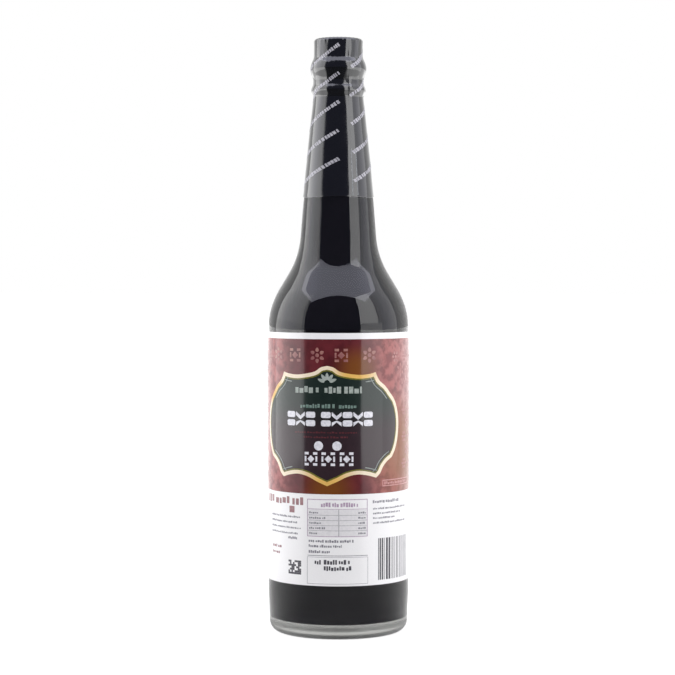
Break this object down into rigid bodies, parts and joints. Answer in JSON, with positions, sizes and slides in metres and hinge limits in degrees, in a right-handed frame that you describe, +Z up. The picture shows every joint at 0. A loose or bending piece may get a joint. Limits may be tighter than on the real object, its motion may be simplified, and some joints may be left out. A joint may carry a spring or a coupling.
{
  "type": "soy sauce bottle",
  "caption": "Long-necked glass bottle of dark soy sauce with a wrap-round paper label, a moulded cap and a dark shrunk film sleeve over cap and neck.",
  "frame": {"origin": "centre of the base, on the plane of the ring that the bottle stands on", "axes": "+Z up along the bottle's axis, -Y out of the middle of the label's front, +X to the right of the label"},
  "size_m": [0.0702, 0.0702, 0.295],
  "materials": {
    "bottle_glass": "clear flint glass with a faint olive tint, smooth",
    "sauce": "near-black brown liquid, wet gloss",
    "cap_plastic": "black moulded plastic, satin",
    "film": "dark shrunk film with white slanted print, glossy",
    "label_paper": "gloss-varnished printed paper, maroon, white, black and gold"
  },
  "bodies": {
    "root": {"glass_bottle": "bottle_glass", "soy_sauce": "sauce", "cap": "cap_plastic", "seal_film": "film", "label": "label_paper"}
  },
  "joints": []
}
